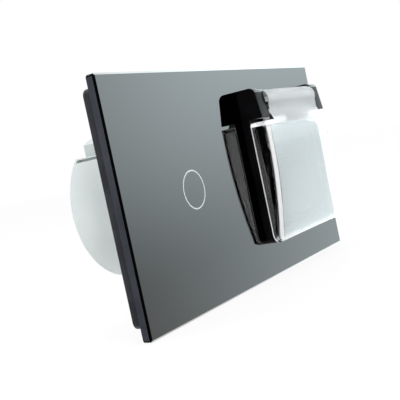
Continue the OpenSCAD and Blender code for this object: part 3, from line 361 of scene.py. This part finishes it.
def clearLid(name, look):
    finish, tree, shader = startFinish(name)
    coords = tree.nodes.new("ShaderNodeTexCoord")

    def part(kind, axis):
        split = tree.nodes.new("ShaderNodeSeparateXYZ")
        tree.links.new(coords.outputs[kind], split.inputs["Vector"])
        return split.outputs[axis]

    clouded(tree, coords.outputs["Object"], look, shader)
    # painted highlight: edges facing partly to the front lose clearness, so the white base colour shows there; less
    # of it at the top
    facing = maths(tree, "ABSOLUTE", part("Normal", "Y"))
    lost = look["clearness"] - look["roundClearness"]
    rounded = maths(tree, "SUBTRACT", fade(tree, facing, look["roundFrom"], 0.0, lost),
                    fade(tree, facing, look["roundTo"], 0.0, lost))
    lessHighlightAtTop = fade(tree, part("Normal", "Z"), look["topFrom"], 1.0, look["topShare"])
    paintedHighlight = maths(tree, "MULTIPLY", rounded, lessHighlightAtTop)
    dome = maths(tree, "SUBTRACT", look["clearness"], paintedHighlight)
    height = fade(tree, part("Object", "Z"), (look["bandFrom"] * mm, look["bandTo"] * mm))
    notEnd = fade(tree, maths(tree, "ABSOLUTE", part("Normal", "X")), look["endFrom"], 1.0, 0.0)
    notBack = fade(tree, part("Normal", "Y"), look["backFrom"], 1.0, 0.0)
    band = maths(tree, "MULTIPLY", height, maths(tree, "MULTIPLY", notEnd, notBack))
    mix = tree.nodes.new("ShaderNodeMix")
    tree.links.new(band, mix.inputs["Factor"])
    tree.links.new(dome, mix.inputs["A"])
    mix.inputs["B"].default_value = look["bandClearness"]
    tree.links.new(mix.outputs["Result"], shader.inputs["Transmission Weight"])
    tree.links.new(spread(tree, band, look["rough"], look["bandRough"]), shader.inputs["Roughness"])
    front = fade(tree, part("Normal", "Y"), look["coatFrom"])
    tree.links.new(maths(tree, "MULTIPLY", front, spread(tree, band, 1.0, 0.0)), shader.inputs["Coat Weight"])
    shader.inputs["IOR"].default_value = look["ior"]
    shader.inputs["Coat IOR"].default_value = look["ior"]
    shader.inputs["Coat Roughness"].default_value = look["coatRough"]
    return finish


finishes = {  # by material slot of the record
    "glass": clear("polishedGlass", glassLook),
    "black_print": moulded("blackPrint", printLook),
    "black_plastic": moulded("blackFramePlastic", frameLook),
    "clear_plastic": clearLid("clearLidPlastic", lidLook),
    "pale_plastic": moulded("palePlastic", paleLook),
    "guide_plastic": clear("lightGuidePlastic", guideLook),
    "steel_sheet": moulded("platedSheet", yokeLook),
    "steel_turned": moulded("turnedSteel", turnedLook),
    "spring_steel": moulded("springWire", springLook),
    "brass": moulded("clampBrass", brassLook),
    "rubber": moulded("sealRubber", rubberLook),
    "pad_foam": moulded("conductiveFoam", foamLook),
    "board": moulded("lacqueredBoard", boardLook),
    "terminal_plastic": moulded("terminalPlastic", terminalLook),
    "chip": moulded("chipPlastic", chipLook),
    "led": clear("indicatorLens", lensLook),
    "relay_case": moulded("relayCase", relayLook),
    "film_case": moulded("dippedFilm", filmLook),
    "can": moulded("sleevedCan", canLook),
    "ferrite": moulded("ferriteCore", ferriteLook),
    "shutter_plastic": moulded("shutterPlastic", shutterLook),
    "carrier_plastic": moulded("carrierPlastic", carrierLook),
}
ownFinishes = {  # pieces that differ from their slot
    "socket_collar": moulded("blackCollarPlastic", collarLook),
    "socket_insert": moulded("matteInsertPlastic", insertLook),
}
earFinish = moulded("texturedCollarFront", earLook)
recessFinish = moulded("recessPlastic", recessLook)
# painted glow on the lid's rim and shoulders
paintedGlowEdgeFinish = moulded("frostedLidEdge", paintedGlowEdgeLook)
panelFinish = blackGlass("blackPrintedGlass", blackGlassLook)
groundFinish = moulded("groundGlassEdge", groundLook)
bevelFinish = moulded("polishedBevel", bevelLook)
print("finishes made")


def finishFor(node):
    return ownFinishes.get(node, finishes[slotOf[node]])


# Copies of the solids, which the pieces are shaped from

mergeGap = 0.0005  # mm
flatAngle = 0.5  # degrees, faces that meet flatter than this become one


def copySolid(node, ending, joinFlat):
    mesh = frame["nodes"][node].data.copy()
    mesh.name = node + ending
    mesh.materials.clear()  # before the faces get their slots, because this sets them all to the first
    shape = bmesh.new()
    shape.from_mesh(mesh)
    bmesh.ops.remove_doubles(shape, verts=shape.verts, dist=mergeGap * mm)
    if joinFlat:
        bmesh.ops.dissolve_limit(shape, angle_limit=math.radians(flatAngle), verts=shape.verts, edges=shape.edges)
    return mesh, shape


def makePiece(mesh, shape, skins):
    shape.to_mesh(mesh)
    shape.free()
    for skin in skins:
        mesh.materials.append(skin)
    return link(bpy.data.objects.new(mesh.name, mesh))


def smoothFaces(shape):
    for face in shape.faces:
        face.smooth = True


def standFor(piece, node):
    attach(piece, bodyOf[node])
    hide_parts(node)


# Glass panel: black front, ground sides and a polished bevel

glassPanel = dict(solidBevel=0.9, shownBevel=0.65, near=0.3, flat=0.95, lean=0.2)  # mm, and parts of a normal


def dressGlass(shape, spec):
    low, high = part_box("glass_panel")
    shift = (spec["solidBevel"] - spec["shownBevel"]) * mm
    near = spec["near"] * mm
    inner = [high[axis] - spec["solidBevel"] * mm - near for axis in range(3)]
    for vert in shape.verts:  # the bevel becomes narrower, and the outline stays
        sides = [axis for axis in (0, 2) if abs(vert.co[axis]) > inner[axis]]
        depth = vert.co.y - low[1]
        if depth < near:
            for axis in sides:
                vert.co[axis] += math.copysign(shift, vert.co[axis])
        elif sides and abs(depth - spec["solidBevel"] * mm) < near:
            vert.co.y -= shift
    bmesh.ops.recalc_face_normals(shape, faces=shape.faces)
    for face in shape.faces:
        if max(abs(face.normal.x), abs(face.normal.z)) > spec["flat"]:
            face.material_index = 2
        elif face.normal.y < -spec["flat"]:
            face.material_index = 1
        elif face.normal.y < -spec["lean"]:
            face.material_index = 3
    return [panelFinish, groundFinish, bevelFinish]


# Lid: frosted rim and shoulders with a painted glow

lidEdges = dict(rim=-11.2, shoulder=18.2, bandHalf=17.2, near=0.05, cut=0.0001, flat=0.99)  # mm


def dressLid(shape, spec):
    for side in (-1, 1):
        bmesh.ops.bisect_plane(shape, geom=shape.verts[:] + shape.edges[:] + shape.faces[:], dist=spec["cut"] * mm,
                               plane_co=((gangMiddle + side * spec["bandHalf"]) * mm, 0, 0), plane_no=(1, 0, 0))
    for face in shape.faces:
        middle = face.calc_center_median() / mm
        onRim = face.normal.y > spec["flat"] and abs(middle.y - spec["rim"]) < spec["near"]
        onShoulder = face.normal.z > spec["flat"] and abs(middle.z - spec["shoulder"]) < spec["near"]
        besideBand = abs(middle.x - gangMiddle) > spec["bandHalf"]
        if onRim or (onShoulder and besideBand):
            face.material_index = 1
    return [paintedGlowEdgeFinish]


# Collar: textured front

collarFront = dict(flat=0.95)


def dressCollar(shape, spec):
    for face in shape.faces:
        if face.normal.y < -spec["flat"]:
            face.material_index = 1
    return [earFinish]


# Insert: glossier plug recess behind a matte face

insertRecess = dict(start=0.4)  # mm behind the face


def dressInsert(shape, spec):
    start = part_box("socket_insert")[0][1] + spec["start"] * mm
    for face in shape.faces:
        if face.calc_center_median().y > start:
            face.material_index = 1
    return [recessFinish]


dressed = {
    "glass_panel": (dressGlass, glassPanel),
    "lid": (dressLid, lidEdges),
    "socket_collar": (dressCollar, collarFront),
    "socket_insert": (dressInsert, insertRecess),
}


# Backs of the housings, mm

ventSlots = dict(rows=5, top=-3.5, pitch=3.2, size=(17, 1.4), corner=0.68, depth=0.9)
shelfGrooves = dict(reach=18.42, line=16.90, size=(4, 0.9), corner=0.2, depth=10, inset=0.8)  # under the shelves
labelRecess = dict(line=-6, size=(26, 14), corner=1.5, depth=0.35)  # bare
ejectorMarks = dict(reach=18, lines=(-18, 4), size=(3.6, 3.6), corner=1.79, depth=0.2)
carving = dict(steps=6, edge=0.08)

backDetail = {  # where each is cut, across and up, and which
    "switch_housing":
        [((-gangMiddle, ventSlots["top"] - ventSlots["pitch"] * row), ventSlots) for row in range(ventSlots["rows"])]
        + [((side * shelfGrooves["reach"] - gangMiddle, shelfGrooves["line"]), shelfGrooves) for side in (-1, 1)],
    "socket_housing":
        [((gangMiddle, labelRecess["line"]), labelRecess)]
        + [((gangMiddle + side * ejectorMarks["reach"], line), ejectorMarks) for side in (-1, 1)
           for line in ejectorMarks["lines"]],
}


def carve(piece, cuts, back):
    shape = bmesh.new()
    for (across, up), cut in cuts:
        block = bmesh.ops.create_cube(shape, size=1)["verts"]
        wide, high = cut["size"]
        bmesh.ops.scale(shape, verts=block, vec=(wide * mm, 2 * cut["depth"] * mm, high * mm))
        middle = back - (cut["inset"] + cut["depth"]) * mm if "inset" in cut else back
        bmesh.ops.translate(shape, verts=block, vec=(across * mm, middle, up * mm))
        corners = {edge for vert in block for edge in vert.link_edges
                   if abs(edge.verts[0].co.y - edge.verts[1].co.y) > cut["depth"] * mm}
        bmesh.ops.bevel(shape, geom=list(corners), offset=cut["corner"] * mm, segments=carving["steps"], profile=0.5,
                        affect="EDGES", material=-1)
    mesh = bpy.data.meshes.new("backCutter")
    cutter = makePiece(mesh, shape, [])
    knife = piece.modifiers.new("backDetail", "BOOLEAN")
    knife.operation = "DIFFERENCE"
    knife.solver = "FAST"
    knife.object = cutter
    plain = piece.data
    carved = bpy.data.meshes.new_from_object(piece.evaluated_get(bpy.context.evaluated_depsgraph_get()))
    piece.modifiers.clear()
    piece.data = carved
    carved.name = piece.name
    for polygon in carved.polygons:
        polygon.use_smooth = True
    for spare in (cutter, mesh, plain):
        bpy.data.batch_remove([spare])
    roundEdges(piece, carving["edge"], False)


# Pieces that keep the shape of their solid and get softened edges

softEdges = {  # width of the edge rounding in mm
    "switch_housing": 0.5,
    "socket_housing": 0.5,
    "glass_panel": 0.08,
    "rear_frame": 0.3,
    "socket_collar": 0.6,
    "socket_insert": 0.3,
    "lid": 0.12,
    "switch_yoke": 0.15,
    "socket_yoke": 0.15,
    "switch_terminals": 0.2,
    "socket_terminals": 0.2,
    "switch_tray": 0.2,
    "socket_tray": 0.2,
    "shutter": 0.15,
    "contact_carrier": 0.2,
    "switch_screws": 0.1,
    "socket_screws": 0.1,
    "insert_screw": 0.1,
    "switch_clamp_screws": 0.1,
    "socket_clamp_screws": 0.1,
    "switch_clamps": 0.12,
    "socket_clamps": 0.12,
    "collar_gasket": 0.15,
    "lid_seal": 0.3,
    "touch_pad": 0.35,
}
edgeStyle = dict(steps=3, angle=35)  # degrees
evenNodes = ("glass_panel", *backDetail)  # large flat faces, shaded by their area


def roundEdges(piece, width, harden):
    edge = piece.modifiers.new("softEdge", "BEVEL")
    edge.width = width * mm
    edge.segments = edgeStyle["steps"]
    edge.limit_method = "ANGLE"
    edge.angle_limit = math.radians(edgeStyle["angle"])
    edge.profile = 0.5
    edge.use_clamp_overlap = True
    edge.harden_normals = harden


def softened(node, width):
    mesh, shape = copySolid(node, "_soft", True)
    smoothFaces(shape)
    skins = [finishFor(node)]
    if node in dressed:
        dress, spec = dressed[node]
        skins += dress(shape, spec)
    piece = makePiece(mesh, shape, skins)
    roundEdges(piece, width, node not in evenNodes)
    if node in backDetail:
        carve(piece, backDetail[node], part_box(node)[1][1])
    if node in evenNodes:
        piece.modifiers.new("evenShade", "WEIGHTED_NORMAL")
    standFor(piece, node)


for node, width in softEdges.items():
    softened(node, width)
print("softened pieces:", len(softEdges))


# Torsion spring of the lid, one leg held in the collar and the other turning with the lid: here a smoothed copy of
# its solid, left where it stands

lidSpring = dict(held="base", heldLeg=1.5, turned="lid", turnedLeg=3.1, levels=2)  # straight wire at its ends, mm


def woundWire(node, spec):
    mesh, shape = copySolid(node, "_wire", False)
    smoothFaces(shape)
    piece = makePiece(mesh, shape, [finishFor(node)])
    finer = piece.modifiers.new("roundWire", "SUBSURF")
    finer.levels = finer.render_levels = spec["levels"]
    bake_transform(piece)
    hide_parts(node)


# Return blade of the shutter: a copy of its solid in the shape it has, with softened edges, on the body its solid
# belongs to

returnBlade = dict(joint="shutter_turn", lean=48, keep=0.05, edge=0.04, steps=2)  # degrees, share and mm


def bentBlade(node, spec):
    mesh, shape = copySolid(node, "_blade", True)
    bmesh.ops.bevel(shape, geom=shape.edges[:], offset=spec["edge"] * mm, segments=spec["steps"], profile=0.5,
                    affect="EDGES", material=-1)
    piece = makePiece(mesh, shape, [finishFor(node)])
    standFor(piece, node)
    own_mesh(piece)


woundWire("lid_spring", lidSpring)
bentBlade("shutter_spring", returnBlade)
print("springs made")

for node, solid in frame["nodes"].items():
    if node not in softEdges and node not in ("lid_spring", "shutter_spring"):
        solid.data.materials.clear()
        solid.data.materials.append(finishFor(node))
print("other solids have a finish")


# Floor, background and lights

studio = dict(
    floorZ=-40.0,  # mm, the plate stands on its lower edge
    floorSize=9000,
    floorColour=(0.9, 0.9, 0.9),
    floorRough=0.6,
    floorGloss=0.1,
    floorGlow=0.85,  # how far the floor is lifted to the white of the background
    floorWhite=1.04,
    worldLight=0.7,  # what the surroundings give to plain surfaces
    glowTint=(0.88, 1.0, 1.03),
    glows=(  # bright parts of the surroundings that gloss shows, angles in degrees
        dict(aim=(0.992, -0.087, 0.087), inner=24, outer=42, level=1.15),
        dict(aim=(0.736, -0.618, 0.276), inner=2, outer=25, level=2.3),
    ),
    dark=dict(aim=(-1.0, 0.1, 0.0), inner=72, outer=98, level=0.004),  # the unlit side of the room
    boxes=(
        dict(name="stripBox", place=(-436, -671, 60), size=(340, 560), level=8.0, mirrored=False),
        dict(name="rearBox", place=(-250, 330, 560), size=(320, 320), level=2.6, mirrored=False),
        dict(name="topBox", place=(160, -120, 800), size=(520, 520), level=1.7, mirrored=True),
    ),
)


def addFloor(spec):
    shape = bmesh.new()
    bmesh.ops.create_grid(shape, x_segments=1, y_segments=1, size=spec["floorSize"] * mm / 2)
    bmesh.ops.translate(shape, verts=shape.verts, vec=(0, 0, spec["floorZ"] * mm))
    finish, tree, shader = startFinish("paleFloor")
    shader.inputs["Base Color"].default_value = (*spec["floorColour"], 1)
    shader.inputs["Roughness"].default_value = spec["floorRough"]
    shader.inputs["Specular IOR Level"].default_value = spec["floorGloss"]
    glow = tree.nodes.new("ShaderNodeEmission")
    glow.inputs["Strength"].default_value = spec["floorWhite"]
    path = tree.nodes.new("ShaderNodeLightPath")
    share = maths(tree, "MULTIPLY", path.outputs["Is Camera Ray"], spec["floorGlow"])
    lifted = tree.nodes.new("ShaderNodeMixShader")
    tree.links.new(share, lifted.inputs["Fac"])
    tree.links.new(shader.outputs["BSDF"], lifted.inputs[1])
    tree.links.new(glow.outputs["Emission"], lifted.inputs[2])
    tree.links.new(lifted.outputs["Shader"], tree.nodes["Material Output"].inputs["Surface"])
    floor = makePiece(bpy.data.meshes.new("studioFloor"), shape, [finish])
    floor.visible_glossy = False  # gloss shows the surroundings, which go on below the horizon


def addWorld(spec):
    world = bpy.data.worlds.new("studioWorld")
    bpy.context.scene.world = world
    world.use_nodes = True
    tree = world.node_tree
    facing = tree.nodes.new("ShaderNodeTexCoord").outputs["Generated"]

    def around(lobe):
        turn = tree.nodes.new("ShaderNodeVectorMath")
        turn.operation = "DOT_PRODUCT"
        tree.links.new(facing, turn.inputs[0])
        turn.inputs[1].default_value = Vector(lobe["aim"]).normalized()
        return fade(tree, turn.outputs["Value"], [math.cos(math.radians(lobe[end])) for end in ("outer", "inner")])

    path = tree.nodes.new("ShaderNodeLightPath").outputs
    seen = path["Is Camera Ray"]
    mirrored = maths(tree, "MAXIMUM", path["Is Glossy Ray"], path["Is Transmission Ray"])
    unlit = maths(tree, "MULTIPLY", around(spec["dark"]), 1 - spec["dark"]["level"])
    gloss = maths(tree, "SUBTRACT", 1.0, unlit)
    glowing = 0.0
    for glow in spec["glows"]:
        glowing = maths(tree, "ADD", maths(tree, "MULTIPLY", around(glow), glow["level"]), glowing)
    opaque = maths(tree, "SUBTRACT", 1.0, path["Is Transmission Ray"])  # the glows don't show through clear pieces
    glowing = maths(tree, "MULTIPLY", glowing, opaque)
    shown = maths(tree, "MULTIPLY", maths(tree, "ADD", gloss, glowing), mirrored)
    plain = maths(tree, "MULTIPLY", maths(tree, "SUBTRACT", 1.0, mirrored), spec["worldLight"])
    hidden = maths(tree, "MULTIPLY", maths(tree, "ADD", shown, plain), maths(tree, "SUBTRACT", 1.0, seen))
    tint = blendColours(tree, maths(tree, "MULTIPLY", glowing, mirrored), (1, 1, 1), spec["glowTint"])
    shade = tree.nodes["Background"]
    tree.links.new(tint, shade.inputs["Color"])
    tree.links.new(maths(tree, "ADD", hidden, seen), shade.inputs["Strength"])


def addSoftBox(spec):
    data = bpy.data.lights.new(spec["name"], "AREA")
    data.shape = "RECTANGLE"
    data.size, data.size_y = (side * mm for side in spec["size"])
    data.energy = spec["level"] * math.pi * data.size * data.size_y
    box = link(bpy.data.objects.new(spec["name"], data))
    place = Vector(spec["place"]) * mm
    box.matrix_world = Matrix.Translation(place) @ place.to_track_quat("Z", "Y").to_matrix().to_4x4()
    box.visible_glossy = spec["mirrored"]
    box.visible_transmission = spec["mirrored"]


addFloor(studio)
addWorld(studio)
for box in studio["boxes"]:
    addSoftBox(box)
print("studio set")
